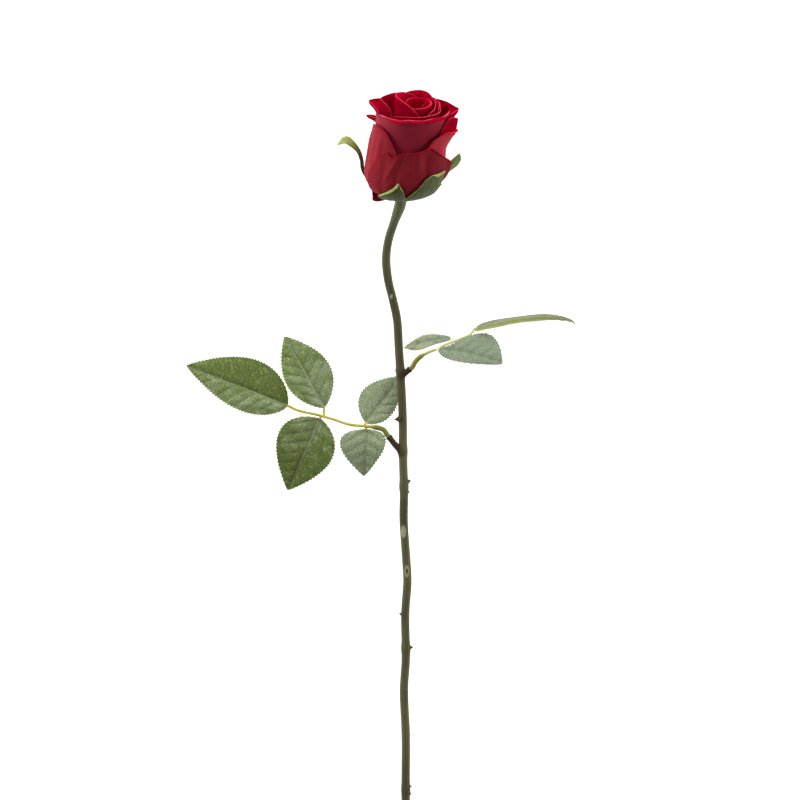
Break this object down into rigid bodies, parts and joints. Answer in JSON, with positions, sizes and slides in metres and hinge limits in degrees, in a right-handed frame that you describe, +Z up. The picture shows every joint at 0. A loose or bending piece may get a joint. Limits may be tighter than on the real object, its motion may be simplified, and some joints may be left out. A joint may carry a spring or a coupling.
{
  "type": "long-stemmed rose",
  "caption": "Cut red rose lying on its side: half-open layered bloom in a leafy calyx, and serrated compound leaves on a long, bent olive stem.",
  "frame": {"origin": "on the surface the rose lies on, at the middle of its bounding box's bottom", "axes": "+Y along the stem from the cut end to the bloom, +X towards the leaf with fewer leaflets, +Z up from the surface"},
  "size_m": [0.2527, 0.5598, 0.0635],
  "materials": {
    "outer_petal": "matte, dusty red outer faces of the petals",
    "inner_petal": "velvety saturated red inner petals",
    "calyx": "matte green sepals with paler folded edges",
    "leaf": "matte veined grey-green blades with frayed teeth",
    "stalk": "satin yellow-green leaf stalks",
    "stem": "satin dark olive stem"
  },
  "bodies": {
    "root": {"stem": "stem", "calyx": "calyx", "inner_bloom": "inner_petal", "petal_front": "outer_petal", "petal_left": "outer_petal", "petal_right": "outer_petal", "petal_under_left": "outer_petal", "petal_under_right": "outer_petal", "left_leaf_stalk": "stalk", "right_leaf_stalk": "stalk", "left_leaflet_end": "leaf", "left_leaflet_upper": "leaf", "left_leaflet_lower": "leaf", "left_leaflet_inner_upper": "leaf", "left_leaflet_inner_lower": "leaf", "right_leaflet_end": "leaf", "right_leaflet_near": "leaf", "right_leaflet_far": "leaf"}
  },
  "joints": []
}
